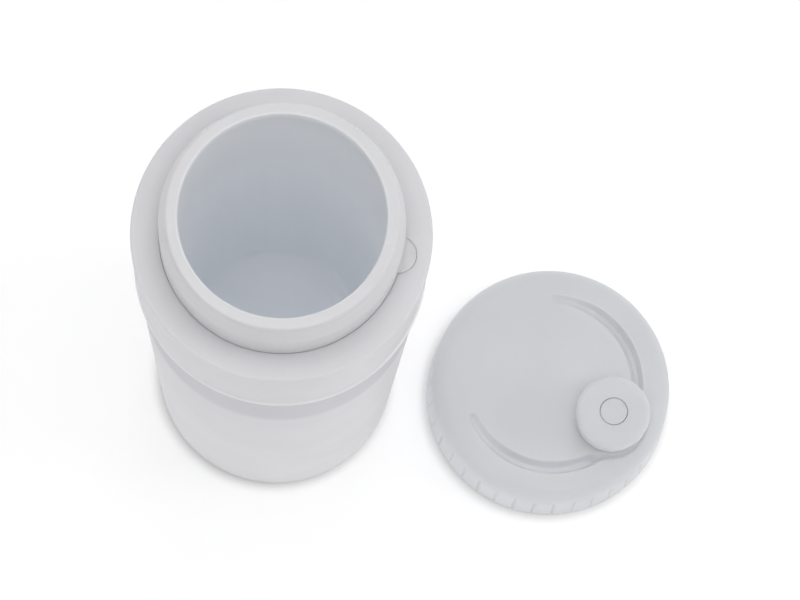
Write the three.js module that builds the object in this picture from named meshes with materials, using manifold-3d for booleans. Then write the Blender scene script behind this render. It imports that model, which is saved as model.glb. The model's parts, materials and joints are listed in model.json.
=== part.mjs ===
// Hand-crank pill crusher, in millimetres, +Z up.
// The jar stands on the origin. Its grinding lid lies beside it, right way up, on the same surface.
import * as THREE from 'three';
import { mergeVertices } from 'three/addons/utils/BufferGeometryUtils.js';
import Module from 'manifold-3d';

const wasm = await Module();
wasm.setup();

// ---- Driving dimensions ----
const FIT_GAP = 0.3; // between pieces that touch or are pressed together
const RUNNING_GAP = 0.15; // between a shaft and the bore it turns in

// Jar
const COLLAR_RADIUS = 32;
const COLLAR_TOP = 140;
const COLLAR_LIP = 113.5; // underside of the collar's lower edge
const CASING_BOTTOM = 0.9; // the foot pad holds the casing this far off the surface
const CASING_FOOT_RADIUS = 28.6;
const CASING_TOP_RADIUS = 31.3;
const CASING_WALL = 2.3;
const CASING_NECK_BOTTOM = 98; // the wall is thick above this, up to the spigot inside the collar
const CASING_NECK_RAMP = 3;
const LEDGE_BOTTOM = 4.5; // ring inside the casing that takes the base screws
const LEDGE_TOP = 9;
const LEDGE_BORE = 20.5;
const SPIGOT_INNER = 26.8;
const SPIGOT_OUTER = 29;
const SPIGOT_TOP = 136;
const BORE_RADIUS = 26.2; // the collar's bore round the cup's flange
const SEAT_RADIUS = 25.2; // the collar's seat under the cup's flange
const SEAT_TOP = 134.4;
const SEAT_BOTTOM = 122;

// Cup
const CUP_MOUTH = 21.8;
const CUP_TOP = 155.7;
const CUP_FLOOR = 38.5;
const CUP_UNDERSIDE = 35;
const CUP_FLOOR_RADIUS = 20.2;
const CUP_FLOOR_ROUND = 6;
const CUP_FOOT_RADIUS = 23.2;
const CUP_BODY_RADIUS = 24.9;
const FLANGE_RADIUS = BORE_RADIUS - FIT_GAP;
const KEY_RADIUS = 4;
const KEY_CENTRE = 24.9; // from the cup's axis, along +X
const KEY_BOTTOM = SPIGOT_TOP + 0.4;
const RIM_RADIUS = 24.4; // the lip stands on a sloping shoulder

// Base
const BASE_RADIUS = 26;
const BASE_TOP = 4.2;
const PAD_RADIUS = 19;
const PAD_TOP = 1.3;
const BASE_SCREW_CIRCLE = 22.8;
const POST_RADIUS = 15;
const POST_WALL = 2;
const POST_TOP = 31.5;

// Lid
const LID_X = 67.2;
const LID_Y = 5.8;
const LID_TURN = -21.6; // degrees about +Z, from +X to the knob
const LID_RADIUS = 29.2; // where the grip ring meets the crank cover
const LID_FOOT_RADIUS = 29.8;
const LID_FOOT_BEVEL = 0.8;
const RING_TOP = 11.2; // the deck that the crank cover turns on
const SOCKET_RADIUS = 26.1;
const SOCKET_TOP = 10;
const SNAP_BEAD_RADIUS = 25.7;
const SNAP_BEAD_HEIGHT = 5.6;
const GRIP_GROOVES = 38;
const GRIP_GROOVE_WIDTH = 0.7;
const GRIP_GROOVE_DEPTH = 0.45;
const GRIP_GROOVE_BOTTOM = 1.2;
const CHAMBER_RADIUS = 17.4; // grinding chamber
const BURR_RADIUS = 21.2;
const BURR_BOTTOM = 1.5;
const BURR_FLOOR = 3;
const BURR_TOP = 7.6;
const BURR_SCREW_CIRCLE = 19.3;
const ROTOR_RADIUS = 16.9;
const ROTOR_BOTTOM = 6.2;
const ROTOR_TOP = 7.8;
const ROTOR_SCREW_CIRCLE = 6.8;
const TOOTH_WIDTH = 1.6;
const SPINDLE_RADIUS = 2;
const SPINDLE_BOTTOM = 2.9;
const SPINDLE_TOP = 12.2;
const SPINDLE_FLAT = 1.3; // distance of the drive flat from the spindle's axis
const CLIP_BOTTOM = 5.55; // the clip in the spindle's groove
const CLIP_TOP = 5.85;
const WASHER_BOTTOM = 4.9; // the thrust washer, on the fixed burr's hub
const WASHER_TOP = 5.2;
const COVER_BOTTOM = RING_TOP + FIT_GAP;
const COVER_CEILING = 13.3;
const COVER_CROWN = 16.5;
const COVER_EDGE = 15.8;
const COVER_SHOULDER = 4.3;
const FINGER_GROOVE_INNER = 19.5;
const FINGER_GROOVE_OUTER = 22.5;
const FINGER_GROOVE_FLOOR = 12.9;
const FINGER_GROOVE_START = -127.5; // degrees about +Z, from the knob
const FINGER_GROOVE_END = 122.5;
const KNOB_OFFSET = 16.6; // from the lid's axis
const KNOB_RADIUS = 9;
const KNOB_FOOT = 8.3;
const KNOB_PAD_TOP = 16.1; // the boss under the knob
const KNOB_BOTTOM = KNOB_PAD_TOP + FIT_GAP;
const KNOB_TOP = 25.5;
const KNOB_POCKET = 9.75; // the round pocket that the finger groove opens into
const POCKET_SHIFT = [-0.1, -0.4]; // of its centre from the knob's
const PIN_HEAD_RADIUS = 3.2;

const SEGMENTS = { large: 64, medium: 36, small: 18, screw: 10 };
const ARC_STEPS = 3; // most steps in a rounded corner

// ---- Materials ----
function plastic(color, roughness = 0.45) {
  return new THREE.MeshStandardMaterial({ color, roughness, metalness: 0 });
}

const materials = {
  shell: plastic(0xdfe1e4),
  cup: plastic(0xe4e6e9, 0.4),
  lid: plastic(0xd8dade),
  burr: plastic(0xb9bec6, 0.5),
  rubber: plastic(0x9a9da1, 0.9),
  seal: plastic(0xe9e7df, 0.8),
  steel: new THREE.MeshStandardMaterial({ color: 0xb4b7ba, roughness: 0.3, metalness: 1 }),
};

// ---- Shape helpers ----

// Corners are [radius, height] or [radius, height, round]. A round corner becomes an arc.
function outline(corners, closed) {
  const count = corners.length;
  const at = (i) => new THREE.Vector2(...corners[(i + count) % count]);
  const points = [];
  corners.forEach(([x, y, round = 0], i) => {
    const corner = new THREE.Vector2(x, y);
    const isEnd = !closed && (i === 0 || i === count - 1);
    if (!round || isEnd) {
      points.push(corner);
      return;
    }
    const back = at(i - 1).sub(corner).normalize();
    const ahead = at(i + 1).sub(corner).normalize();
    const half = Math.acos(THREE.MathUtils.clamp(back.dot(ahead), -1, 1)) / 2;
    const centre = back.clone().add(ahead).normalize().multiplyScalar(round / Math.sin(half)).add(corner);
    const start = corner.clone().addScaledVector(back, round / Math.tan(half)).sub(centre);
    const end = corner.clone().addScaledVector(ahead, round / Math.tan(half)).sub(centre);
    const sweep = Math.atan2(start.cross(end), start.dot(end));
    const steps = THREE.MathUtils.clamp(Math.round(2 * round), 1, ARC_STEPS);
    for (let step = 0; step <= steps; step += 1) {
      const spoke = start.clone().rotateAround(new THREE.Vector2(), (sweep * step) / steps);
      points.push(spoke.add(centre));
    }
  });
  return points;
}

// A piece of revolution about +Z. Its corners run anticlockwise, with the radius to the right and +Z up.
// An outline that touches the axis starts and ends on it, and any other closes on itself.
function turned(corners, segments) {
  const onAxis = corners[0][0] === 0;
  const points = outline(corners, !onAxis);
  if (!onAxis) points.push(points[0].clone());
  return new THREE.LatheGeometry(points, segments).rotateX(Math.PI / 2);
}

function cylinder(radius, bottom, top, segments, x = 0, y = 0) {
  const height = top - bottom;
  const geometry = new THREE.CylinderGeometry(radius, radius, height, segments).rotateX(Math.PI / 2);
  return geometry.translate(x, y, bottom + height / 2);
}

function box(sizeX, sizeY, bottom, top, x = 0, y = 0) {
  return new THREE.BoxGeometry(sizeX, sizeY, top - bottom).translate(x, y, (bottom + top) / 2);
}

// A sector of a flat ring, between two angles in degrees from +X.
function ringSector(inner, outer, bottom, top, startDegrees, endDegrees, segments) {
  const start = THREE.MathUtils.degToRad(startDegrees);
  const end = THREE.MathUtils.degToRad(endDegrees);
  const shape = new THREE.Shape();
  shape.absarc(0, 0, outer, start, end, false);
  shape.absarc(0, 0, inner, end, start, true);
  const geometry = new THREE.ExtrudeGeometry(shape, {
    depth: top - bottom,
    bevelEnabled: false,
    curveSegments: segments,
  });
  return geometry.translate(0, 0, bottom);
}

// Copies of a geometry spread evenly about +Z.
function spread(geometry, count, startDegrees = 0) {
  return Array.from({ length: count }, (unused, i) => {
    const angle = THREE.MathUtils.degToRad(startDegrees) + (2 * Math.PI * i) / count;
    return geometry.clone().rotateZ(angle);
  });
}

function toSolid(geometry) {
  const bare = geometry.clone();
  bare.deleteAttribute('normal');
  bare.deleteAttribute('uv');
  const merged = mergeVertices(bare, 1e-4);
  const index = merged.index.array;
  const triangles = [];
  for (let i = 0; i < index.length; i += 3) {
    const [a, b, c] = [index[i], index[i + 1], index[i + 2]];
    if (a !== b && b !== c && c !== a) triangles.push(a, b, c);
  }
  const vertProperties = new Float32Array(merged.attributes.position.array);
  const triVerts = new Uint32Array(triangles);
  return new wasm.Manifold(new wasm.Mesh({ numProp: 3, vertProperties, triVerts }));
}

function toGeometry(solid) {
  const mesh = solid.getMesh();
  const geometry = new THREE.BufferGeometry();
  geometry.setAttribute('position', new THREE.BufferAttribute(mesh.vertProperties, 3));
  geometry.setIndex(new THREE.BufferAttribute(mesh.triVerts, 1));
  geometry.computeVertexNormals();
  return geometry;
}

// Adds some geometries to a base, then cuts others from it.
function combine(base, { add = [], cut = [] }) {
  let solid = toSolid(base);
  for (const piece of add) solid = solid.add(toSolid(piece));
  for (const piece of cut) solid = solid.subtract(toSolid(piece));
  return toGeometry(solid);
}

function node(parent, name, geometry, material) {
  const mesh = new THREE.Mesh(geometry, material);
  mesh.name = name;
  parent.add(mesh);
  return mesh;
}

function screw(headRadius, headHeight, shankRadius, length) {
  return turned(
    [
      [0, 0],
      [headRadius, 0, 0.3],
      [headRadius, headHeight],
      [shankRadius, headHeight],
      [shankRadius, length],
      [0, length],
    ],
    SEGMENTS.screw,
  );
}

// Screws named NAME_1, NAME_2 and so on, on a circle about the parent's +Z.
function screwCircle(parent, name, geometry, count, radius, place) {
  for (let i = 0; i < count; i += 1) {
    const mesh = node(parent, `${name}_${i + 1}`, geometry, materials.steel);
    const angle = (2 * Math.PI * i) / count + THREE.MathUtils.degToRad(place.start);
    mesh.position.set(radius * Math.cos(angle), radius * Math.sin(angle), place.z);
    if (place.headUp) mesh.rotation.x = Math.PI;
  }
}

const holes = (radius, bottom, top, count, circle, start) =>
  spread(cylinder(radius, bottom, top, SEGMENTS.screw, circle), count, start);

// ---- Jar ----
const jar = new THREE.Group();

function outerCasing() {
  const innerFoot = CASING_FOOT_RADIUS - CASING_WALL;
  const innerTop = CASING_TOP_RADIUS - CASING_WALL - FIT_GAP;
  const shell = turned(
    [
      [innerFoot, CASING_BOTTOM],
      [CASING_FOOT_RADIUS, CASING_BOTTOM, 1.2],
      [CASING_TOP_RADIUS, COLLAR_LIP - FIT_GAP, 0.4],
      [SPIGOT_OUTER, COLLAR_LIP - FIT_GAP],
      [SPIGOT_OUTER, SPIGOT_TOP],
      [SPIGOT_INNER, SPIGOT_TOP],
      [SPIGOT_INNER, CASING_NECK_BOTTOM],
      [innerTop, CASING_NECK_BOTTOM - CASING_NECK_RAMP],
      [innerFoot, LEDGE_TOP],
      [LEDGE_BORE, LEDGE_TOP],
      [LEDGE_BORE, LEDGE_BOTTOM],
      [innerFoot, LEDGE_BOTTOM],
    ],
    SEGMENTS.large,
  );
  return combine(shell, { cut: holes(1.45, LEDGE_BOTTOM - 1, LEDGE_TOP - 0.6, 3, BASE_SCREW_CIRCLE, 30) });
}

function collarRing() {
  const wallInner = SPIGOT_OUTER + FIT_GAP;
  const seatOuter = SPIGOT_INNER - FIT_GAP;
  const ring = turned(
    [
      [BORE_RADIUS, COLLAR_TOP, 0.25],
      [BORE_RADIUS, SEAT_TOP],
      [SEAT_RADIUS, SEAT_TOP],
      [SEAT_RADIUS, SEAT_BOTTOM],
      [seatOuter, SEAT_BOTTOM],
      [seatOuter, SPIGOT_TOP + FIT_GAP],
      [wallInner, SPIGOT_TOP + FIT_GAP],
      [wallInner, COLLAR_LIP],
      [COLLAR_RADIUS - 0.6, COLLAR_LIP, 0.3],
      [COLLAR_RADIUS - 0.05, COLLAR_LIP + 0.5, 0.2],
      [COLLAR_RADIUS - 0.5, COLLAR_LIP + 1.5],
      [COLLAR_RADIUS, COLLAR_TOP, 0.6],
    ],
    SEGMENTS.large,
  );
  const notch = cylinder(KEY_RADIUS + FIT_GAP, KEY_BOTTOM - 1, COLLAR_TOP + 1, SEGMENTS.medium, KEY_CENTRE);
  return combine(ring, { cut: [notch] });
}

function crushingCup() {
  const neck = COLLAR_TOP;
  const cup = turned(
    [
      [0, CUP_UNDERSIDE],
      [CUP_FOOT_RADIUS, CUP_UNDERSIDE, 4],
      [CUP_BODY_RADIUS, SEAT_TOP + FIT_GAP],
      [FLANGE_RADIUS, SEAT_TOP + FIT_GAP],
      [FLANGE_RADIUS, neck + 9.6, 0.8],
      [RIM_RADIUS + 0.3, neck + 13.7],
      [RIM_RADIUS, neck + 14],
      [RIM_RADIUS, CUP_TOP, 0.6],
      [CUP_MOUTH, CUP_TOP, 0.6],
      [CUP_FLOOR_RADIUS, CUP_FLOOR, CUP_FLOOR_ROUND],
      [0, CUP_FLOOR],
    ],
    SEGMENTS.large,
  );
  const key = cylinder(KEY_RADIUS, KEY_BOTTOM, COLLAR_TOP, SEGMENTS.medium, KEY_CENTRE);
  const bore = cylinder(CUP_MOUTH + 1, KEY_BOTTOM - 1, COLLAR_TOP + 1, SEGMENTS.large);
  return combine(cup, { add: [combine(key, { cut: [bore] })] });
}

function basePlate() {
  const recess = PAD_TOP + FIT_GAP;
  const plate = turned(
    [
      [0, recess],
      [PAD_RADIUS + FIT_GAP, recess],
      [PAD_RADIUS + FIT_GAP, CASING_BOTTOM],
      [BASE_RADIUS, CASING_BOTTOM],
      [BASE_RADIUS, BASE_TOP],
      [0, BASE_TOP],
    ],
    SEGMENTS.medium,
  );
  const heads = holes(2.6, 0, 2.6, 3, BASE_SCREW_CIRCLE, 30);
  const shanks = holes(1.45, 0, BASE_TOP + 1, 3, BASE_SCREW_CIRCLE, 30);
  return combine(plate, { cut: [...heads, ...shanks] });
}

function cupPost() {
  const foot = LEDGE_BORE - 1;
  const bottom = BASE_TOP + FIT_GAP;
  return turned(
    [
      [POST_RADIUS - POST_WALL, bottom],
      [foot, bottom],
      [foot, bottom + POST_WALL],
      [POST_RADIUS, bottom + POST_WALL],
      [POST_RADIUS, POST_TOP],
      [POST_RADIUS - POST_WALL, POST_TOP],
    ],
    SEGMENTS.medium,
  );
}

node(jar, 'outer_casing', outerCasing(), materials.shell);
node(jar, 'collar_ring', collarRing(), materials.shell);
node(jar, 'crushing_cup', crushingCup(), materials.cup);
node(jar, 'base_plate', basePlate(), materials.shell);
node(jar, 'foot_pad', cylinder(PAD_RADIUS, 0, PAD_TOP, SEGMENTS.medium), materials.rubber);
node(jar, 'cup_post', cupPost(), materials.shell);
const cushionBottom = POST_TOP + FIT_GAP;
const cushionTop = CUP_UNDERSIDE - FIT_GAP;
node(jar, 'cup_cushion', cylinder(POST_RADIUS, cushionBottom, cushionTop, SEGMENTS.medium), materials.seal);
screwCircle(jar, 'base_screw', screw(2.3, 1.4, 1.15, 7), 3, BASE_SCREW_CIRCLE, { start: 30, z: 1 });

// ---- Lid ----
const lid = new THREE.Group();
lid.position.set(LID_X, LID_Y, 0);
lid.rotation.z = THREE.MathUtils.degToRad(LID_TURN);

function gripRing() {
  const flangeBottom = BURR_TOP + FIT_GAP;
  const slope = (LID_RADIUS - LID_FOOT_RADIUS) / (RING_TOP - LID_FOOT_BEVEL);
  const ring = turned(
    [
      [SOCKET_RADIUS + 0.3, 0],
      [LID_FOOT_RADIUS - 0.5, 0],
      [LID_FOOT_RADIUS, LID_FOOT_BEVEL],
      [LID_RADIUS, RING_TOP, 0.2],
      [CHAMBER_RADIUS, RING_TOP],
      [CHAMBER_RADIUS, flangeBottom],
      [BURR_RADIUS + 0.2, flangeBottom],
      [BURR_RADIUS + 0.2, SOCKET_TOP],
      [SOCKET_RADIUS, SOCKET_TOP],
      [SOCKET_RADIUS, SNAP_BEAD_HEIGHT + 1],
      [SNAP_BEAD_RADIUS, SNAP_BEAD_HEIGHT, 0.4],
      [SOCKET_RADIUS, SNAP_BEAD_HEIGHT - 1],
    ],
    SEGMENTS.large,
  );
  const grooveMiddle = (GRIP_GROOVE_BOTTOM + RING_TOP + 1) / 2;
  const grooveHalf = grooveMiddle - GRIP_GROOVE_BOTTOM;
  const groove = box(2 * GRIP_GROOVE_DEPTH, GRIP_GROOVE_WIDTH, -grooveHalf, grooveHalf)
    .rotateY(Math.atan(slope))
    .translate(LID_FOOT_RADIUS + slope * (grooveMiddle - LID_FOOT_BEVEL), 0, grooveMiddle);
  return combine(ring, {
    cut: [
      ...spread(groove, GRIP_GROOVES),
      ...holes(1, flangeBottom - 1, RING_TOP + 1, 3, BURR_SCREW_CIRCLE, 60),
      ...holes(1.75, RING_TOP - 1.2, RING_TOP + 1, 3, BURR_SCREW_CIRCLE, 60),
    ],
  });
}

function tooth(radius, bottom, top) {
  return box(TOOTH_WIDTH, TOOTH_WIDTH, bottom, top, radius);
}

function fixedBurr() {
  const dish = turned(
    [
      [0, BURR_BOTTOM],
      [BURR_RADIUS, BURR_BOTTOM, 0.6],
      [BURR_RADIUS, BURR_TOP],
      [CHAMBER_RADIUS, BURR_TOP],
      [CHAMBER_RADIUS, BURR_FLOOR],
      [0, BURR_FLOOR],
    ],
    SEGMENTS.medium,
  );
  const hubTop = WASHER_BOTTOM - FIT_GAP;
  const toothTop = ROTOR_BOTTOM - 1.2;
  const sunk = BURR_FLOOR - 0.5;
  return combine(dish, {
    add: [
      cylinder(SPINDLE_RADIUS + 2.2, sunk, hubTop, SEGMENTS.small),
      ...spread(tooth(8, sunk, toothTop), 8),
      ...spread(tooth(14, sunk, toothTop), 14),
    ],
    cut: [
      cylinder(SPINDLE_RADIUS + RUNNING_GAP, BURR_BOTTOM + 1, hubTop + 1, SEGMENTS.small),
      ...spread(cylinder(1, BURR_BOTTOM - 1, BURR_FLOOR + 1, 8, 11), 12, 15),
      ...spread(cylinder(0.8, BURR_BOTTOM - 1, BURR_FLOOR + 1, 8, 6), 6, 30),
      ...holes(1, BURR_TOP - 4, BURR_TOP + 1, 3, BURR_SCREW_CIRCLE, 60),
    ],
  });
}

function rotorBurr() {
  const disc = cylinder(ROTOR_RADIUS, ROTOR_BOTTOM, ROTOR_TOP, SEGMENTS.medium);
  const toothBottom = BURR_FLOOR + 1;
  const sunk = ROTOR_BOTTOM + 0.5;
  return combine(disc, {
    add: [
      ...spread(tooth(11, toothBottom, sunk), 10, 9),
      ...spread(tooth(16, toothBottom, sunk), 12, 9),
    ],
    cut: [
      cylinder(SPINDLE_RADIUS + RUNNING_GAP, ROTOR_BOTTOM - 1, ROTOR_TOP + 1, SEGMENTS.small),
      ...holes(1, ROTOR_BOTTOM - 1, ROTOR_TOP + 1, 3, ROTOR_SCREW_CIRCLE, 0),
      ...holes(1.75, ROTOR_BOTTOM - 1, ROTOR_BOTTOM + 1.1, 3, ROTOR_SCREW_CIRCLE, 0),
    ],
  });
}

// The block that leaves a flat on a round shape about +Z.
function driveFlat(distance, bottom) {
  return box(4, 8, bottom, COVER_CROWN, distance + 2);
}

function crankCover() {
  const hubRadius = 9.5;
  const hubBottom = ROTOR_TOP + FIT_GAP;
  const recess = CHAMBER_RADIUS - 0.4;
  const dome = turned(
    [
      [0, hubBottom],
      [hubRadius, hubBottom],
      [hubRadius, COVER_CEILING],
      [recess, COVER_CEILING],
      [recess, COVER_BOTTOM],
      [LID_RADIUS, COVER_BOTTOM],
      [LID_RADIUS, COVER_EDGE, COVER_SHOULDER],
      [FINGER_GROOVE_INNER, COVER_EDGE + 0.2],
      [0, COVER_CROWN],
    ],
    SEGMENTS.large,
  );
  const groove = ringSector(
    FINGER_GROOVE_INNER,
    FINGER_GROOVE_OUTER,
    FINGER_GROOVE_FLOOR,
    COVER_CROWN + 1,
    FINGER_GROOVE_START,
    FINGER_GROOVE_END,
    24,
  );
  const pad = cylinder(KNOB_FOOT, COVER_BOTTOM, KNOB_PAD_TOP, SEGMENTS.medium, KNOB_OFFSET);
  const [shiftX, shiftY] = POCKET_SHIFT;
  const pocketX = KNOB_OFFSET + shiftX;
  const pocket = combine(
    cylinder(KNOB_POCKET, FINGER_GROOVE_FLOOR, COVER_CROWN + 1, SEGMENTS.medium, pocketX, shiftY),
    { cut: [cylinder(FINGER_GROOVE_INNER, 0, COVER_CROWN + 2, SEGMENTS.large)] },
  );
  const socket = combine(
    cylinder(SPINDLE_RADIUS + RUNNING_GAP, hubBottom - 1, SPINDLE_TOP + FIT_GAP, SEGMENTS.small),
    { cut: [driveFlat(SPINDLE_FLAT + RUNNING_GAP, hubBottom - 2)] },
  );
  const grooved = combine(dome, { cut: [groove, pocket] });
  return combine(grooved, {
    add: [pad],
    cut: [
      socket,
      cylinder(SPINDLE_RADIUS + FIT_GAP, COVER_BOTTOM - 1, COVER_CROWN + 1, SEGMENTS.small, KNOB_OFFSET),
      ...holes(1, hubBottom - 1, SPINDLE_TOP + FIT_GAP, 3, ROTOR_SCREW_CIRCLE, 0),
    ],
  });
}

function spindleClip() {
  const inner = SPINDLE_RADIUS - 0.35;
  const outer = SPINDLE_RADIUS + 1.4;
  return ringSector(inner, outer, CLIP_BOTTOM, CLIP_TOP, -60, 240, SEGMENTS.screw);
}

function spindle() {
  const neck = SPINDLE_RADIUS - 0.5;
  const rod = turned(
    [
      [0, SPINDLE_BOTTOM],
      [SPINDLE_RADIUS, SPINDLE_BOTTOM, 0.4],
      [SPINDLE_RADIUS, CLIP_BOTTOM - RUNNING_GAP],
      [neck, CLIP_BOTTOM - RUNNING_GAP],
      [neck, CLIP_TOP + RUNNING_GAP],
      [SPINDLE_RADIUS, CLIP_TOP + RUNNING_GAP],
      [SPINDLE_RADIUS, SPINDLE_TOP, 0.3],
      [0, SPINDLE_TOP],
    ],
    SEGMENTS.small,
  );
  return combine(rod, { cut: [driveFlat(SPINDLE_FLAT, ROTOR_TOP)] });
}

function flatRing(inner, outer, bottom, top, segments) {
  return turned([[inner, bottom], [outer, bottom], [outer, top], [inner, top]], segments);
}

function crankKnob() {
  const bore = SPINDLE_RADIUS + RUNNING_GAP;
  const headRecess = PIN_HEAD_RADIUS + FIT_GAP;
  const headSeat = KNOB_TOP - 2.2;
  return turned(
    [
      [bore, KNOB_BOTTOM + 1],
      [6, KNOB_BOTTOM + 1],
      [6, KNOB_BOTTOM],
      [KNOB_FOOT, KNOB_BOTTOM, 0.4],
      [KNOB_RADIUS, KNOB_TOP - 3, 1],
      [KNOB_RADIUS - 0.1, KNOB_TOP, 1.8],
      [headRecess, KNOB_TOP, 0.25],
      [headRecess, headSeat],
      [bore, headSeat],
    ],
    SEGMENTS.medium,
  );
}

function knobPin() {
  const headBottom = KNOB_TOP - 1.9;
  return turned(
    [
      [0, COVER_BOTTOM + 0.4],
      [SPINDLE_RADIUS, COVER_BOTTOM + 0.4],
      [SPINDLE_RADIUS, headBottom],
      [PIN_HEAD_RADIUS, headBottom],
      [PIN_HEAD_RADIUS, KNOB_TOP, 0.3],
      [0, KNOB_TOP],
    ],
    SEGMENTS.small,
  );
}

node(lid, 'grip_ring', gripRing(), materials.lid);
node(lid, 'lid_seal', flatRing(22.2, 25.7, SOCKET_TOP - 1, SOCKET_TOP - FIT_GAP, SEGMENTS.medium), materials.seal);
node(lid, 'fixed_burr', fixedBurr(), materials.burr);
screwCircle(lid, 'burr_screw', screw(1.5, 0.8, 0.75, 6.5), 3, BURR_SCREW_CIRCLE, {
  start: 60,
  z: RING_TOP - 0.1,
  headUp: true,
});
node(lid, 'spindle', spindle(), materials.steel);
node(lid, 'spindle_clip', spindleClip(), materials.steel);
const washerInner = SPINDLE_RADIUS + RUNNING_GAP;
const thrustWasher = flatRing(washerInner, 3.9, WASHER_BOTTOM, WASHER_TOP, SEGMENTS.small);
node(lid, 'thrust_washer', thrustWasher, materials.steel);
node(lid, 'rotor_burr', rotorBurr(), materials.burr);
screwCircle(lid, 'rotor_screw', screw(1.5, 0.8, 0.75, 6), 3, ROTOR_SCREW_CIRCLE, {
  start: 0,
  z: ROTOR_BOTTOM,
});
node(lid, 'crank_cover', crankCover(), materials.lid);

const knob = new THREE.Group();
knob.position.x = KNOB_OFFSET;
lid.add(knob);
node(knob, 'crank_knob', crankKnob(), materials.lid);
node(knob, 'knob_pin', knobPin(), materials.lid);
const knobWasher = flatRing(SPINDLE_RADIUS + FIT_GAP, 5.7, KNOB_BOTTOM, KNOB_BOTTOM + 0.7, SEGMENTS.small);
node(knob, 'knob_washer', knobWasher, materials.seal);

const group = new THREE.Group();
group.add(jar, lid);
export default group;
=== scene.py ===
"""Looks of the hand-crank pill crusher: a jar with a lift-out cup, and its grinding lid beside it."""
import json
import math

import bmesh
import bpy
import numpy as np
from mathutils import Matrix, Vector


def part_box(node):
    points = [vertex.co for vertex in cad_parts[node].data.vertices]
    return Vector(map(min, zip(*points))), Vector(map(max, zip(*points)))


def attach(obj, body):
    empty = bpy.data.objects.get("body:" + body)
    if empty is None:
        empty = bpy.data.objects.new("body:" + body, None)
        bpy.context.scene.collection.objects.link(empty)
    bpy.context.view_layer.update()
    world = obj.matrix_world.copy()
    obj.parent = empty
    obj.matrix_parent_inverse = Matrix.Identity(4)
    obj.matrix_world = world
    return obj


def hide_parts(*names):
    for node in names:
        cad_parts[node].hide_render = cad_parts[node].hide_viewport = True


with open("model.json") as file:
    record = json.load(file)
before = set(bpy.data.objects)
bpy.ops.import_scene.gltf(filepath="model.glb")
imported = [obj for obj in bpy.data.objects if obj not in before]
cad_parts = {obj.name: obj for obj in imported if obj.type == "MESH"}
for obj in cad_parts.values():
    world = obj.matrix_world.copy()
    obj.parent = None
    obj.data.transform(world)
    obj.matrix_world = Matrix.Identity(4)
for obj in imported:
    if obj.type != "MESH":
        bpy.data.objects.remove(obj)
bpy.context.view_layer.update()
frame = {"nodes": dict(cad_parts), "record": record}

MM = 0.001

FIT_GAP = 0.3  # clearance between neighbouring pieces, in mm like every size of the object below

# ---- Jar, standing on the origin ----
COLLAR_RADIUS = 32.0
COLLAR_TOP = 140.0
COLLAR_LIP = 113.5
CASING_BOTTOM = 0.9
CASING_FOOT_RADIUS = 28.6
CASING_TOP_RADIUS = 31.3
CASING_WALL = 2.3
CASING_NECK_BOTTOM = 98.0
CASING_NECK_RAMP = 3.0
LEDGE_BORE = 20.5
LEDGE_BOTTOM = 4.5
LEDGE_TOP = 9.0
SPIGOT_INNER = 26.8
SPIGOT_OUTER = 29.0
SPIGOT_TOP = 136.0
BORE_RADIUS = 26.2
SEAT_RADIUS = 25.2
SEAT_TOP = 134.4
SEAT_BOTTOM = 122.0
CUP_MOUTH = 21.8
CUP_TOP = 155.7
CUP_FLOOR = 38.5
CUP_FLOOR_RADIUS = 20.2
CUP_FLOOR_ROUND = 6.0
CUP_UNDERSIDE = 35.0
CUP_FOOT_RADIUS = 23.2
CUP_BODY_RADIUS = 24.9
FLANGE_RADIUS = 25.9
RIM_RADIUS = 24.4  # the lip stands on a sloping shoulder
KEY_RADIUS = 4.0
KEY_CENTRE = 24.9  # from the cup's axis, along +X
KEY_BOTTOM = 136.4
KEY_HALF = math.radians(12)  # the key tab lies within this angle of +X
KEY_FILLET = 0.9
SEAM_GAP = 0.11  # between collar and cup at the collar's top
SEAM_DEPTH = 0.18  # how far down the seam stays that wide
SEAM_GAP_BELOW = 0.04
COLLAR_EDGE_ROUND = 0.12
KEY_EDGE_ROUND = 0.25

# ---- Lid ----
LID_TURN = math.radians(-21.6)
LID_RADIUS = 29.2
LID_FOOT_RADIUS = 29.8
LID_FOOT_BEVEL = 0.8
RING_TOP = 11.2
SOCKET_RADIUS = 26.1
SOCKET_TOP = 10.0
SNAP_BEAD_RADIUS = 25.7
SNAP_BEAD_HEIGHT = 5.6
CHAMBER_RADIUS = 17.4
BURR_POCKET_RADIUS = 21.4
BURR_POCKET_TOP = 7.9
BURR_SCREW_CIRCLE = 19.3
SCREW_RECESS_RADIUS = 1.75
SCREW_RECESS_DEPTH = 1.2
GRIP_GROOVES = 38
GROOVE_WIDTH = 0.8
GROOVE_DEPTH = 0.45
GROOVE_BOTTOM = 1.5
COVER_BOTTOM = 11.5
COVER_CEILING = 13.3
COVER_RECESS_RADIUS = 17.0
HUB_RADIUS = 9.5
HUB_BOTTOM = 8.1
SPINDLE_SOCKET_RADIUS = 2.15
SPINDLE_SOCKET_TOP = 12.5
CROWN = 16.5
CROWN_EDGE = 15.8
SHOULDER = 4.3
FINGER_GROOVE_INNER = 19.5
FINGER_GROOVE_OUTER = 22.5
FINGER_GROOVE_ENDS = (math.radians(-127.5), math.radians(122.5))  # from the knob
FINGER_GROOVE_DEPTHS = (0.7, 2.6)  # at its ends, and midway
FINGER_GROOVE_TAPER = math.radians(50)  # of turn from an end to the full depth
FINGER_GROOVE_WALL = 0.95  # width of the slope from the dome down to the groove's floor
INNER_WALL_SHARE = 0.7  # how steep the inner slope is beside the outer one
POCKET_BLEND = 1.0  # rounds the corners where the groove meets the knob's pocket
ISLAND_BLEND = 3.0  # and those where its inner edge meets the knob's foot
FLOOR_BLEND = 0.4  # rounds the groove's floor where its two slopes meet
END_BLEND = 0.9  # and its ends
KNOB_OFFSET = 16.6
KNOB_FOOT = 8.4
KNOB_POCKET = 9.75  # the round pocket that the finger groove opens into
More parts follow.
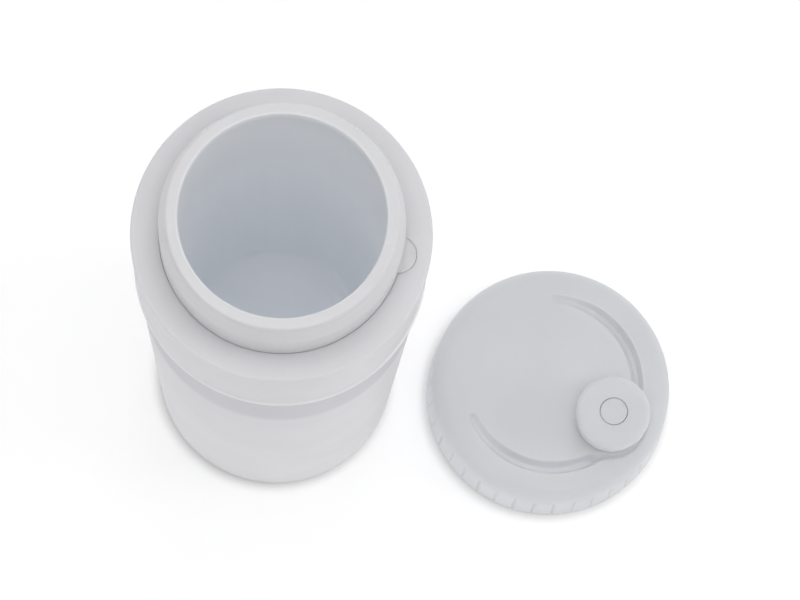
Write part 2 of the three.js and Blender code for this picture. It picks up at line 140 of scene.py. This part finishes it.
POCKET_SHIFT = (-0.1, -0.4)  # of the pocket's centre from the knob's
KNOB_RADIUS = 9.0
KNOB_BOTTOM = 16.5
KNOB_TOP = 25.5
WASHER_RECESS_RADIUS = 6.0
PIN_RADIUS = 2.0
PIN_BORE = 2.15
PIN_HEAD = 3.25
PIN_HEAD_HEIGHT = 1.9
PIN_SEAT_DEPTH = 2.2
PIN_GAP = 0.13

# ---- Colours and finishes ----
SHELL_COLOUR = (0.80, 0.797, 0.817)
CUP_COLOUR = (0.80, 0.797, 0.812)
# paler than the cup's plastic: painted light for the cup's deep inside
CUP_INSIDE_PAINTED_LIGHT = (0.95, 0.96, 0.974)
LID_COLOUR = (0.81, 0.817, 0.84)
SCATTER_DEPTH = 0.0015  # how far light spreads inside the plastic, in metres
SCATTER_WEIGHT = 0.7
LIP_SHADOW_FADE = (90.0, 96.5)  # heights between which the painted shadow under the collar's lip fades in on the casing
# how much darker the painted shadow under the collar's lip makes the casing
LIP_SHADOW_SHADE = (0.86, 0.855, 0.88)
BEAD_HIGHLIGHT_FADE = (115.3, 114.7)  # a painted highlight makes the collar's thin bead paler below these heights
# how much paler the painted highlight makes the bead
BEAD_HIGHLIGHT = (1.2, 1.2, 1.2)
SMOOTH_ANGLE = math.radians(38)
CAD_SMOOTH_ANGLE = math.radians(30)

# ---- Studio, in metres ----
FLOOR_HALF = 4.0
PAPER_COLOUR = (0.93, 0.93, 0.93)
# the floor paper is painted with a glow round the object and a contact shadow under it
FLOOR_GLOW = 0.345
GLOW_CENTRE = (0.035, 0.0, 0.0)
GLOW_FADE = (0.14, 0.42)  # distances from its centre between which the glow fades
GLOW_FAR_SHARE = 0.5
CONTACT_SHADE = 0.0025  # half the width of the soft edge of the painted contact shadow under the object
# moves the painted contact shadow a little towards -X and -Y
CONTACT_SHIFT = (-0.0005, -0.0006, 0.0)
# the paper's colour in the painted contact shadow
CONTACT_SHADOW_GREY = (0.78, 0.775, 0.77)
SKY_COLOUR = (0.98, 0.985, 1.0)
SKY_HORIZON = 0.46
SKY_ZENITH = 0.13
LIGHTS = [  # name, place, what it points at, radius, and power in watts
    ("softbox", (0, 0, 1.05), (0, 0, 0), 0.75, 5.75),
    ("overhead", (0, 0, 1.05), (0, 0, 0), 0.17, 0.85),
    ("front", (0.03, -0.8, 0.5), (0.03, 0, 0.08), 0.25, 0.45),
    ("right", (0.8, 0.1, 0.5), (0.03, 0, 0.08), 0.25, 0.9),
    ("back", (0.03, 0.8, 0.5), (0.03, 0, 0.08), 0.25, 0.55),
    ("left", (-0.8, 0, 0.5), (0, 0, 0.08), 0.25, 0.2),
]
LIGHT_BOUNCES = 24  # the inside of the cup needs many

# ---- Camera ----
CAMERA_PLACE = (27.07, -187.6, 898.2)  # in mm
CAMERA_PITCH = 1.3402  # below horizontal, in radians
CAMERA_ROLL = 0.1805
FOCAL_WIDTHS = 4.625375  # focal length over frame width
SENSOR = 36.0


# ---- Mesh helpers ----
def rounded(corners, closed=False, steps=6):
    """Corners are (radius, height) or (radius, height, round). A round corner becomes an arc."""
    points = []
    count = len(corners)
    for i, corner in enumerate(corners):
        here = np.array(corner[:2], float)
        radius = corner[2] if len(corner) > 2 else 0
        if not radius or (not closed and i in (0, count - 1)):
            points.append(here)
            continue
        back = np.array(corners[i - 1][:2], float) - here
        ahead = np.array(corners[(i + 1) % count][:2], float) - here
        back /= np.linalg.norm(back)
        ahead /= np.linalg.norm(ahead)
        half = math.acos(np.clip(back @ ahead, -1, 1)) / 2
        middle = (back + ahead) / np.linalg.norm(back + ahead)
        centre = here + middle * radius / math.sin(half)
        start = here + back * radius / math.tan(half) - centre
        end = here + ahead * radius / math.tan(half) - centre
        sweep = math.atan2(start[0] * end[1] - start[1] * end[0], start @ end)
        for step in range(steps + 1):
            turn = sweep * step / steps
            c, s = math.cos(turn), math.sin(turn)
            points.append(centre + (c * start[0] - s * start[1], s * start[0] + c * start[1]))
    return [tuple(p) for p in points]


def even_angles(count):
    return np.linspace(0, 2 * math.pi, count, endpoint=False)


def lathe(name, rows, angles, centre=(0, 0), turn=0.0):
    """A mesh of revolution from rows of (radius, height) in mm. Either may be an array with a value for each
    angle. Rows that start on the axis end on it too, and any others close on themselves."""
    count = len(angles)
    radius = np.array([np.broadcast_to(r, count) for r, _ in rows], float)
    height = np.array([np.broadcast_to(z, count) for _, z in rows], float)
    x = centre[0] + radius * np.cos(angles + turn)
    y = centre[1] + radius * np.sin(angles + turn)
    points = np.stack([x, y, height], -1).reshape(-1, 3) * MM
    closed = radius[0].max() > 1e-6
    faces = []
    for i in range(len(rows) if closed else len(rows) - 1):
        below = i * count
        above = (i + 1) % len(rows) * count
        for j in range(count):
            k = (j + 1) % count
            faces.append((below + j, below + k, above + k, above + j))
    mesh = bpy.data.meshes.new(name)
    mesh.from_pydata(points.tolist(), [], faces)
    piece = bpy.data.objects.new(name, mesh)
    bpy.context.scene.collection.objects.link(piece)
    tidy_mesh(mesh)
    return piece


def tidy_mesh(mesh):
    """Joins points that meet, faces everything outwards and shades it smooth up to its sharp edges."""
    work = bmesh.new()
    work.from_mesh(mesh)
    bmesh.ops.remove_doubles(work, verts=work.verts, dist=1e-7)
    bmesh.ops.dissolve_degenerate(work, dist=1e-7, edges=work.edges)
    bmesh.ops.recalc_face_normals(work, faces=work.faces)
    work.to_mesh(mesh)
    work.free()
    mesh.shade_smooth()
    mesh.set_sharp_from_angle(angle=SMOOTH_ANGLE)


def cut(piece, *tools):
    """Cuts other meshes out of a piece, and removes them."""
    for tool in tools:
        modifier = piece.modifiers.new("cut", "BOOLEAN")
        modifier.operation = "DIFFERENCE"
        modifier.solver = "EXACT"
        modifier.object = tool
    bpy.context.view_layer.update()
    evaluated = piece.evaluated_get(bpy.context.evaluated_depsgraph_get())
    result = bpy.data.meshes.new_from_object(evaluated)
    piece.modifiers.clear()
    piece.data = result
    for tool in tools:
        bpy.data.objects.remove(tool)
    tidy_mesh(result)


def smooth_min(a, b, blend):
    """The smaller of two values, rounded off where they cross."""
    h = np.clip(0.5 + 0.5 * (b - a) / blend, 0, 1)
    return b + (a - b) * h - blend * h * (1 - h)


def smooth_step(value):
    """Rises smoothly from 0 to 1 as the value does."""
    t = np.clip(value, 0, 1)
    return t * t * (3 - 2 * t)


# ---- Materials ----
def surface(
    name,
    colour,
    roughness,
    mottle=0.02,
    grain=1800,
    bump=0.00001,
    metallic=0.0,
    stretch=(1, 1, 1),
    scatter=0.0,
):
    """A procedural finish: faint broad mottling, varied roughness and a fine moulded or brushed grain. Light
    spreads below the surface over the distance in scatter, in metres."""
    material = bpy.data.materials.new(name)
    material.use_nodes = True
    nodes = material.node_tree.nodes
    links = material.node_tree.links
    shader = nodes["Principled BSDF"]
    shader.inputs["Metallic"].default_value = metallic
    if scatter:
        shader.inputs["Subsurface Weight"].default_value = SCATTER_WEIGHT
        shader.inputs["Subsurface Radius"].default_value = (1, 1, 1)
        shader.inputs["Subsurface Scale"].default_value = scatter
    place = nodes.new("ShaderNodeTexCoord")
    scaled = nodes.new("ShaderNodeMapping")
    scaled.inputs["Scale"].default_value = stretch
    links.new(place.outputs["Object"], scaled.inputs["Vector"])

    def noise(scale, detail):
        node = nodes.new("ShaderNodeTexNoise")
        node.inputs["Scale"].default_value = scale
        node.inputs["Detail"].default_value = detail
        links.new(scaled.outputs["Vector"], node.inputs["Vector"])
        return node.outputs["Fac"]

    tint = nodes.new("ShaderNodeValToRGB")
    tint.color_ramp.elements[0].position = 0.3
    tint.color_ramp.elements[1].position = 0.7
    tint.color_ramp.elements[0].color = (*(c * (1 - mottle) for c in colour), 1)
    tint.color_ramp.elements[1].color = (*(min(1, c * (1 + mottle)) for c in colour), 1)
    links.new(noise(45, 4), tint.inputs["Fac"])
    links.new(tint.outputs["Color"], shader.inputs["Base Color"])

    gloss = nodes.new("ShaderNodeMapRange")
    gloss.inputs["To Min"].default_value = roughness - 0.06
    gloss.inputs["To Max"].default_value = roughness + 0.06
    links.new(noise(160, 3), gloss.inputs["Value"])
    links.new(gloss.outputs["Result"], shader.inputs["Roughness"])

    relief = nodes.new("ShaderNodeBump")
    relief.inputs["Strength"].default_value = 1
    relief.inputs["Distance"].default_value = bump
    links.new(noise(grain, 2), relief.inputs["Height"])
    links.new(relief.outputs["Normal"], shader.inputs["Normal"])
    return material


def paint_shading_band(material, fade, shade):
    """Multiplies a finish by a shade that comes in from the first height in fade to the second. It paints
    the shadow under the collar's lip and the highlight on the collar's bead.
    """
    nodes = material.node_tree.nodes
    links = material.node_tree.links
    colour = nodes["Principled BSDF"].inputs["Base Color"]
    place = nodes.new("ShaderNodeTexCoord")
    split = nodes.new("ShaderNodeSeparateXYZ")
    links.new(place.outputs["Object"], split.inputs["Vector"])
    rise = nodes.new("ShaderNodeMapRange")
    rise.interpolation_type = "SMOOTHSTEP"
    rise.inputs["From Min"].default_value = fade[0] * MM
    rise.inputs["From Max"].default_value = fade[1] * MM
    links.new(split.outputs["Z"], rise.inputs["Value"])
    mix = nodes.new("ShaderNodeMix")
    mix.data_type = "RGBA"
    mix.blend_type = "MULTIPLY"
    links.new(rise.outputs["Result"], mix.inputs["Factor"])
    links.new(colour.links[0].from_socket, mix.inputs[6])
    mix.inputs[7].default_value = (*shade, 1)
    links.new(mix.outputs[2], colour)
    return material


def paint_light_inside(material):
    """Gives all of the cup within its mouth's radius, which is its inside and its foot, a paler colour:
    painted light for the deep inside of the cup.
    """
    nodes = material.node_tree.nodes
    links = material.node_tree.links
    colour = nodes["Principled BSDF"].inputs["Base Color"]
    place = nodes.new("ShaderNodeTexCoord")
    flatten = nodes.new("ShaderNodeVectorMath")
    flatten.operation = "MULTIPLY"
    flatten.inputs[1].default_value = (1, 1, 0)
    links.new(place.outputs["Object"], flatten.inputs[0])
    away = nodes.new("ShaderNodeVectorMath")
    away.operation = "LENGTH"
    links.new(flatten.outputs["Vector"], away.inputs[0])
    rise = nodes.new("ShaderNodeMapRange")
    rise.inputs["From Min"].default_value = (CUP_MOUTH + 0.5) * MM
    rise.inputs["From Max"].default_value = (CUP_MOUTH + 0.1) * MM
    links.new(away.outputs["Value"], rise.inputs["Value"])
    mix = nodes.new("ShaderNodeMix")
    mix.data_type = "RGBA"
    links.new(rise.outputs["Result"], mix.inputs["Factor"])
    links.new(colour.links[0].from_socket, mix.inputs[6])
    mix.inputs[7].default_value = (*CUP_INSIDE_PAINTED_LIGHT, 1)
    links.new(mix.outputs[2], colour)
    return material


def plastic(name, colour, roughness):
    return surface(name, colour, roughness, scatter=SCATTER_DEPTH)


FINISHES = {
    "shell_plastic": plastic("shell_plastic", SHELL_COLOUR, 0.46),
    # the collar carries the painted highlight on its bead
    "collar_plastic": paint_shading_band(plastic("collar_plastic", SHELL_COLOUR, 0.4), BEAD_HIGHLIGHT_FADE, BEAD_HIGHLIGHT),
    # the casing carries the painted shadow under the collar's lip
    "casing_plastic": paint_shading_band(plastic("casing_plastic", SHELL_COLOUR, 0.46), LIP_SHADOW_FADE, LIP_SHADOW_SHADE),
    # the cup's inside carries painted light
    "cup_plastic": paint_light_inside(plastic("cup_plastic", CUP_COLOUR, 0.42)),
    "lid_plastic": plastic("lid_plastic", LID_COLOUR, 0.48),
    "burr_plastic": surface("burr_plastic", (0.30, 0.33, 0.37), 0.55, mottle=0.05, bump=0.00002),
    "pad_rubber": surface("pad_rubber", (0.08, 0.082, 0.088), 0.8, mottle=0.1, grain=900, bump=0.00004),
    "seal_rubber": surface("seal_rubber", (0.60, 0.59, 0.55), 0.7, mottle=0.04, grain=1200, bump=0.00002),
    "steel": surface("steel", (0.56, 0.56, 0.57), 0.3, mottle=0.06, metallic=1.0, stretch=(1, 1, 12)),
}


def finish_piece(piece, body, finish, slot, *nodes):
    """Gives a piece its material, the body it rides on and the CAD nodes it stands for."""
    piece.data.materials.clear()
    piece.data.materials.append(FINISHES[finish])
    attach(piece, body)
    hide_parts(*nodes)


# ---- Jar pieces ----
def key_edge(angles, plain, radius):
    """The radius of a plain circle, bulged where the round key tab stands out of it."""
    across = KEY_CENTRE * np.sin(angles)
    reach = np.sqrt(np.maximum(radius**2 - across**2, 0))
    bulge = np.where(np.abs(across) < radius, KEY_CENTRE * np.cos(angles) + reach, 0)
    return np.maximum(plain, bulge)


KEYED_ANGLES = np.concatenate(
    [
        np.linspace(-KEY_HALF, KEY_HALF, 121),
        np.linspace(KEY_HALF, 2 * math.pi - KEY_HALF, 241)[1:-1],
    ]
)


def make_casing():
    inner_foot = CASING_FOOT_RADIUS - CASING_WALL
    inner_top = CASING_TOP_RADIUS - CASING_WALL - 0.3  # the casing is narrower here than at its top
    profile = [
        (inner_foot, CASING_BOTTOM),
        (CASING_FOOT_RADIUS, CASING_BOTTOM, 1.2),
        (CASING_TOP_RADIUS, COLLAR_LIP - FIT_GAP, 0.4),
        (SPIGOT_OUTER, COLLAR_LIP - FIT_GAP),
        (SPIGOT_OUTER, SPIGOT_TOP, 0.3),
        (SPIGOT_INNER, SPIGOT_TOP, 0.3),
        (SPIGOT_INNER, CASING_NECK_BOTTOM, 0.5),
        (inner_top, CASING_NECK_BOTTOM - CASING_NECK_RAMP, 0.5),
        (inner_foot, LEDGE_TOP),
        (LEDGE_BORE, LEDGE_TOP),
        (LEDGE_BORE, LEDGE_BOTTOM),
        (inner_foot, LEDGE_BOTTOM),
    ]
    return lathe("casing_moulding", rounded(profile, closed=True), even_angles(256))


def make_collar():
    angles = KEYED_ANGLES
    notch = key_edge(angles, FLANGE_RADIUS + SEAM_GAP, KEY_RADIUS + SEAM_GAP)
    notch_below = key_edge(angles, FLANGE_RADIUS + SEAM_GAP_BELOW, KEY_RADIUS + SEAM_GAP_BELOW)
    wall_inner = SPIGOT_OUTER + FIT_GAP
    seat_outer = SPIGOT_INNER - FIT_GAP
    outside = rounded(
        [
            (wall_inner, COLLAR_LIP + 1),
            (wall_inner, COLLAR_LIP),
            (COLLAR_RADIUS - 0.6, COLLAR_LIP, 0.3),
            (COLLAR_RADIUS - 0.05, COLLAR_LIP + 0.5, 0.15),
            (COLLAR_RADIUS - 0.5, COLLAR_LIP + 1.5, 0.3),
            (COLLAR_RADIUS, COLLAR_TOP, 0.5),
            (COLLAR_RADIUS - 2, COLLAR_TOP),
        ]
    )
    edge = []
    for t in np.linspace(0, math.pi / 2, 5):
        radius = notch + COLLAR_EDGE_ROUND * (1 - math.sin(t))
        edge.append((radius, COLLAR_TOP - COLLAR_EDGE_ROUND * (1 - math.cos(t))))
    inside = [
        (notch, COLLAR_TOP - SEAM_DEPTH),
        (notch_below, COLLAR_TOP - SEAM_DEPTH),
        (notch_below, KEY_BOTTOM - 1),
        (BORE_RADIUS, KEY_BOTTOM - 1),
        (BORE_RADIUS, SEAT_TOP),
        (SEAT_RADIUS, SEAT_TOP),
        (SEAT_RADIUS, SEAT_BOTTOM),
        (seat_outer, SEAT_BOTTOM),
        (seat_outer, SPIGOT_TOP + FIT_GAP),
        (wall_inner, SPIGOT_TOP + FIT_GAP),
    ]
    return lathe("collar_moulding", outside + edge + inside, angles)


def make_cup():
    angles = KEYED_ANGLES
    tab = key_edge(angles, FLANGE_RADIUS, KEY_RADIUS)
    lower = rounded(
        [
            (0, CUP_UNDERSIDE),
            (CUP_FOOT_RADIUS, CUP_UNDERSIDE, 4),
            (CUP_BODY_RADIUS, SEAT_TOP + FIT_GAP),
            (FLANGE_RADIUS, SEAT_TOP + FIT_GAP, 0.2),
            (FLANGE_RADIUS, KEY_BOTTOM),
        ]
    )
    tab_edge = [(tab, KEY_BOTTOM)]
    for t in np.linspace(0, math.pi / 2, 5):
        inset = np.maximum(FLANGE_RADIUS, tab - KEY_EDGE_ROUND * (1 - math.cos(t)))
        tab_edge.append((inset, COLLAR_TOP - KEY_EDGE_ROUND * (1 - math.sin(t))))
    for t in np.linspace(0, math.pi / 2, 7):
        reach = FLANGE_RADIUS + KEY_FILLET * (1 - math.sin(t))
        tab_edge.append((np.minimum(reach, inset), COLLAR_TOP + KEY_FILLET * (1 - math.cos(t))))
    neck = rounded(
        [
            (FLANGE_RADIUS, COLLAR_TOP + 1),
            (FLANGE_RADIUS, COLLAR_TOP + 9.6, 0.8),
            (RIM_RADIUS + 0.3, COLLAR_TOP + 13.7, 0.2),
            (RIM_RADIUS, COLLAR_TOP + 14.3, 0.2),
            (RIM_RADIUS, CUP_TOP, 0.6),
            (CUP_MOUTH, CUP_TOP, 0.5),
            (CUP_MOUTH - 0.1, CUP_TOP - 2.5, 0.5),
            (CUP_MOUTH + 0.3, CUP_TOP - 3.6, 0.8),
            (CUP_FLOOR_RADIUS, CUP_FLOOR, CUP_FLOOR_ROUND),
            (0, CUP_FLOOR),
        ]
    )
    return lathe("cup_moulding", lower + tab_edge + neck, angles)


# ---- Lid pieces ----
lid_low, lid_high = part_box("grip_ring")
LID_CENTRE = tuple((lid_low + lid_high).xy / 2 / MM)


def lid_point(radius, angle):
    return (LID_CENTRE[0] + radius * math.cos(angle), LID_CENTRE[1] + radius * math.sin(angle))


KNOB_CENTRE = lid_point(KNOB_OFFSET, LID_TURN)


def wall_radius(height):
    """The radius of the lid's tapered outside at a height."""
    slope = (LID_RADIUS - LID_FOOT_RADIUS) / (RING_TOP - LID_FOOT_BEVEL)
    return LID_FOOT_RADIUS + slope * (height - LID_FOOT_BEVEL)


def make_grip_ring():
    pitch = 2 * math.pi / GRIP_GROOVES
    half_width = GROOVE_WIDTH / 2 / LID_RADIUS
    in_groove = np.linspace(-half_width, half_width, 7)
    between = np.linspace(half_width, pitch - half_width, 8)[1:-1]
    offsets = np.concatenate([in_groove, between])
    angles = (np.arange(GRIP_GROOVES)[:, None] * pitch + offsets[None, :]).ravel()
    away = np.abs((angles + pitch / 2) % pitch - pitch / 2) / half_width
    groove = GROOVE_DEPTH * np.sqrt(np.clip(1 - away, 0, 1))
    profile = rounded(
        [
            (SOCKET_RADIUS + 0.3, 0),
            (LID_FOOT_RADIUS - 0.5, 0, 0.3),
            (LID_FOOT_RADIUS, LID_FOOT_BEVEL, 0.3),
            (wall_radius(1.4), 1.4),
            (wall_radius(2.0), 2.0),
            (LID_RADIUS, RING_TOP, 0.15),
            (CHAMBER_RADIUS, RING_TOP, 0.3),
            (CHAMBER_RADIUS, BURR_POCKET_TOP),
            (BURR_POCKET_RADIUS, BURR_POCKET_TOP),
            (BURR_POCKET_RADIUS, SOCKET_TOP),
            (SOCKET_RADIUS, SOCKET_TOP),
            (SOCKET_RADIUS, SNAP_BEAD_HEIGHT + 1),
            (SNAP_BEAD_RADIUS, SNAP_BEAD_HEIGHT, 0.4),
            (SOCKET_RADIUS, SNAP_BEAD_HEIGHT - 1),
        ],
        closed=True,
    )
    rows = []
    for radius, height in profile:
        on_wall = radius > wall_radius(height) - 0.3 and height > GROOVE_BOTTOM
        rows.append((radius - groove if on_wall else radius, height))
    ring = lathe("grip_ring_moulding", rows, angles, LID_CENTRE, LID_TURN)
    recesses = []
    for i in range(3):
        at = math.radians(60 + 120 * i) + LID_TURN
        centre = lid_point(BURR_SCREW_CIRCLE, at)
        recess = [
            (0, RING_TOP - SCREW_RECESS_DEPTH),
            (SCREW_RECESS_RADIUS, RING_TOP - SCREW_RECESS_DEPTH),
            (SCREW_RECESS_RADIUS, RING_TOP + 1),
            (0, RING_TOP + 1),
        ]
        recesses.append(lathe("recess", recess, even_angles(48), centre))
    cut(ring, *recesses)
    return ring


def finger_groove(x, y):
    """How far the finger groove drops below the dome, in mm, with the knob on the +X side."""
    radius = np.hypot(x, y)
    from_knob = np.hypot(x - KNOB_OFFSET, y)
    from_pocket = np.hypot(x - KNOB_OFFSET - POCKET_SHIFT[0], y - POCKET_SHIFT[1])
    bearing = np.arctan2(y, x)
    before_end = np.minimum(bearing - FINGER_GROOVE_ENDS[0], FINGER_GROOVE_ENDS[1] - bearing)
    taper = 1 - smooth_step(before_end / FINGER_GROOVE_TAPER)
    outer = smooth_min(radius - FINGER_GROOVE_OUTER, from_pocket - KNOB_POCKET, POCKET_BLEND)
    from_inner = radius - FINGER_GROOVE_INNER + 0.3 - 0.4 * taper  # wider where the groove is deep
    island = smooth_min(from_inner, from_knob - KNOB_FOOT, ISLAND_BLEND)
    inside = smooth_min(-outer, INNER_WALL_SHARE * island, FLOOR_BLEND)
    inside = smooth_min(inside, before_end * FINGER_GROOVE_INNER, END_BLEND)
    end_depth, full_depth = FINGER_GROOVE_DEPTHS
    depth = end_depth + (full_depth - end_depth) * (1 - taper)
    depth *= 1 - 0.5 * smooth_step((KNOB_POCKET + 1.5 - from_knob) / 2)
    return depth * smooth_step(inside / FINGER_GROOVE_WALL)


def make_cover():
    angles = even_angles(720)
    crown_radius = LID_RADIUS - SHOULDER
    radii = np.concatenate([np.linspace(0, 6, 8)[:-1], np.arange(6, crown_radius + 0.05, 0.2)])
    top = []
    for radius in radii[::-1]:
        dome = CROWN - (CROWN - CROWN_EDGE) * (radius / crown_radius) ** 2
        x = radius * np.cos(angles)
        y = radius * np.sin(angles)
        top.append((radius, dome - finger_groove(x, y)))
    shoulder = []
    for t in np.linspace(0, math.pi / 2, 18)[:-1]:
        radius = crown_radius + SHOULDER * math.cos(t)
        height = CROWN_EDGE - SHOULDER + SHOULDER * math.sin(t)
        drop = finger_groove(radius * np.cos(angles), radius * np.sin(angles))
        shoulder.append((radius, height - drop))
    under = [
        (0, SPINDLE_SOCKET_TOP),
        (SPINDLE_SOCKET_RADIUS, SPINDLE_SOCKET_TOP),
        (SPINDLE_SOCKET_RADIUS, HUB_BOTTOM),
        (HUB_RADIUS, HUB_BOTTOM),
        (HUB_RADIUS, COVER_CEILING),
        (COVER_RECESS_RADIUS, COVER_CEILING),
        (COVER_RECESS_RADIUS, COVER_BOTTOM),
        (LID_RADIUS, COVER_BOTTOM),
    ]
    return lathe("cover_moulding", under + shoulder + top, angles, LID_CENTRE, LID_TURN)


def make_knob():
    profile = rounded(
        [
            (PIN_BORE, KNOB_BOTTOM + 1),
            (WASHER_RECESS_RADIUS, KNOB_BOTTOM + 1),
            (WASHER_RECESS_RADIUS, KNOB_BOTTOM),
            (KNOB_RADIUS - 0.7, KNOB_BOTTOM, 0.5),
            (KNOB_RADIUS, KNOB_TOP - 3, 1.5),
            (KNOB_RADIUS - 0.1, KNOB_TOP - 0.05, 1.7),
            (PIN_HEAD + PIN_GAP, KNOB_TOP, 0.12),
            (PIN_HEAD + PIN_GAP, KNOB_TOP - PIN_SEAT_DEPTH),
            (PIN_BORE, KNOB_TOP - PIN_SEAT_DEPTH),
        ],
        closed=True,
        steps=10,
    )
    return lathe("knob_moulding", profile, even_angles(160), KNOB_CENTRE)


def make_knob_pin():
    profile = rounded(
        [
            (0, COVER_BOTTOM + 0.4),
            (PIN_RADIUS, COVER_BOTTOM + 0.4),
            (PIN_RADIUS, KNOB_TOP - PIN_HEAD_HEIGHT),
            (PIN_HEAD, KNOB_TOP - PIN_HEAD_HEIGHT),
            (PIN_HEAD, KNOB_TOP - 0.05, 0.12),
            (0.5, KNOB_TOP - 0.03, 0.1),
            (0.25, KNOB_TOP + 0.03, 0.1),
            (0, KNOB_TOP + 0.03),
        ]
    )
    return lathe("knob_pin_cap", profile, even_angles(96), KNOB_CENTRE)


finish_piece(make_casing(), "casing", "casing_plastic", "shell_plastic", "outer_casing")
finish_piece(make_collar(), "casing", "collar_plastic", "shell_plastic", "collar_ring")
finish_piece(make_cup(), "cup", "cup_plastic", "cup_plastic", "crushing_cup")
finish_piece(make_grip_ring(), "lid_ring", "lid_plastic", "lid_plastic", "grip_ring")
finish_piece(make_cover(), "crank", "lid_plastic", "lid_plastic", "crank_cover")
finish_piece(make_knob(), "knob", "lid_plastic", "lid_plastic", "crank_knob")
finish_piece(make_knob_pin(), "crank", "lid_plastic", "lid_plastic", "knob_pin")

# ---- CAD nodes that stay, with finer materials ----
SLOT_OF_NODE = {entry["node"]: entry["material_slot"] for entry in frame["record"]["subparts"]}
for node_name, cad in frame["nodes"].items():
    if cad.hide_render:
        continue
    cad.data.materials.clear()
    cad.data.materials.append(FINISHES[SLOT_OF_NODE[node_name]])
    cad.data.shade_smooth()
    cad.data.set_sharp_from_angle(angle=CAD_SMOOTH_ANGLE)

# ---- Studio ----
def light_the_paper(paper):
    """Paints a light-table glow into the paper round the object, and paints a contact shadow where the jar
    and the lid stand, where the glow is left out as well.
    """
    nodes = paper.node_tree.nodes
    links = paper.node_tree.links
    shader = nodes["Principled BSDF"]
    place = nodes.new("ShaderNodeTexCoord")

    def rise(centre, start, end, least=0.0):
        away = nodes.new("ShaderNodeVectorMath")
        away.operation = "DISTANCE"
        away.inputs[1].default_value = centre
        links.new(place.outputs["Object"], away.inputs[0])
        ramp = nodes.new("ShaderNodeMapRange")
        ramp.interpolation_type = "SMOOTHSTEP"
        ramp.inputs["From Min"].default_value = start
        ramp.inputs["From Max"].default_value = end
        ramp.inputs["To Min"].default_value = least
        links.new(away.outputs["Value"], ramp.inputs["Value"])
        return ramp.outputs["Result"]

    def clear_of(centre, radius):
        shifted = Vector(centre) * MM + Vector(CONTACT_SHIFT)
        return rise(shifted, radius * MM - CONTACT_SHADE, radius * MM + CONTACT_SHADE)

    def multiply(a, b):
        node = nodes.new("ShaderNodeMath")
        node.operation = "MULTIPLY"
        links.new(a, node.inputs[0])
        links.new(b, node.inputs[1])
        return node.outputs["Value"]

    # the painted contact shadow under the jar and the lid
    clear = multiply(clear_of((0, 0, 0), CASING_FOOT_RADIUS), clear_of((*LID_CENTRE, 0), LID_FOOT_RADIUS))
    shade = nodes.new("ShaderNodeMix")
    shade.data_type = "RGBA"
    shade.inputs[6].default_value = (*CONTACT_SHADOW_GREY, 1)
    links.new(clear, shade.inputs["Factor"])
    links.new(shader.inputs["Base Color"].links[0].from_socket, shade.inputs[7])
    links.new(shade.outputs[2], shader.inputs["Base Color"])

    # the painted glow, left out in the contact shadow
    near = rise(GLOW_CENTRE, GLOW_FADE[1], GLOW_FADE[0], GLOW_FAR_SHARE)
    strength = nodes.new("ShaderNodeMapRange")
    strength.inputs["To Max"].default_value = FLOOR_GLOW
    links.new(multiply(clear, near), strength.inputs["Value"])
    shader.inputs["Emission Color"].default_value = (1, 1, 1, 1)
    links.new(strength.outputs["Result"], shader.inputs["Emission Strength"])


floor_mesh = bpy.data.meshes.new("floor")
corners = [(-1, -1), (1, -1), (1, 1), (-1, 1)]
floor_mesh.from_pydata([(FLOOR_HALF * x, FLOOR_HALF * y, 0) for x, y in corners], [], [(0, 1, 2, 3)])
floor = bpy.data.objects.new("floor", floor_mesh)
bpy.context.scene.collection.objects.link(floor)
floor_paper = surface("floor_paper", PAPER_COLOUR, 0.9, mottle=0.004, bump=0.0)
light_the_paper(floor_paper)
floor_mesh.materials.append(floor_paper)


def make_sky():
    """A soft white room that darkens from the horizon up."""
    world = bpy.data.worlds.new("studio")
    world.use_nodes = True
    nodes = world.node_tree.nodes
    links = world.node_tree.links
    place = nodes.new("ShaderNodeTexCoord")
    split = nodes.new("ShaderNodeSeparateXYZ")
    links.new(place.outputs["Generated"], split.inputs["Vector"])
    fade = nodes.new("ShaderNodeMapRange")
    fade.inputs["To Min"].default_value = SKY_HORIZON
    fade.inputs["To Max"].default_value = SKY_ZENITH
    links.new(split.outputs["Z"], fade.inputs["Value"])
    background = nodes["Background"]
    background.inputs["Color"].default_value = (*SKY_COLOUR, 1)
    links.new(fade.outputs["Result"], background.inputs["Strength"])
    bpy.context.scene.world = world


make_sky()


def disc_light(name, place, aim, radius, power):
    light = bpy.data.lights.new(name, "AREA")
    light.shape = "DISK"
    light.size = 2 * radius
    light.energy = power
    lamp = bpy.data.objects.new(name, light)
    lamp.location = place
    lamp.rotation_euler = (Vector(aim) - Vector(place)).to_track_quat("-Z", "Y").to_euler()
    bpy.context.scene.collection.objects.link(lamp)


for light in LIGHTS:
    disc_light(*light)

bpy.context.scene.cycles.max_bounces = LIGHT_BOUNCES
bpy.context.scene.cycles.diffuse_bounces = LIGHT_BOUNCES

# ---- Camera ----
forward = Vector((0, math.cos(CAMERA_PITCH), -math.sin(CAMERA_PITCH)))
level_up = Vector((0, math.sin(CAMERA_PITCH), math.cos(CAMERA_PITCH)))
right = math.cos(CAMERA_ROLL) * Vector((1, 0, 0)) + math.sin(CAMERA_ROLL) * level_up
up = right.cross(forward)
camera_data = bpy.data.cameras.new("camera")
camera_data.sensor_fit = "HORIZONTAL"
camera_data.sensor_width = SENSOR
camera_data.lens = FOCAL_WIDTHS * SENSOR
camera_data.clip_start = 0.05
camera_data.clip_end = 20
camera = bpy.data.objects.new("camera", camera_data)
turned = Matrix((right, up, -forward)).transposed().to_4x4()
camera.matrix_world = Matrix.Translation(Vector(CAMERA_PLACE) * MM) @ turned
bpy.context.scene.collection.objects.link(camera)
bpy.context.scene.camera = camera
bpy.context.scene.view_settings.view_transform = "Standard"
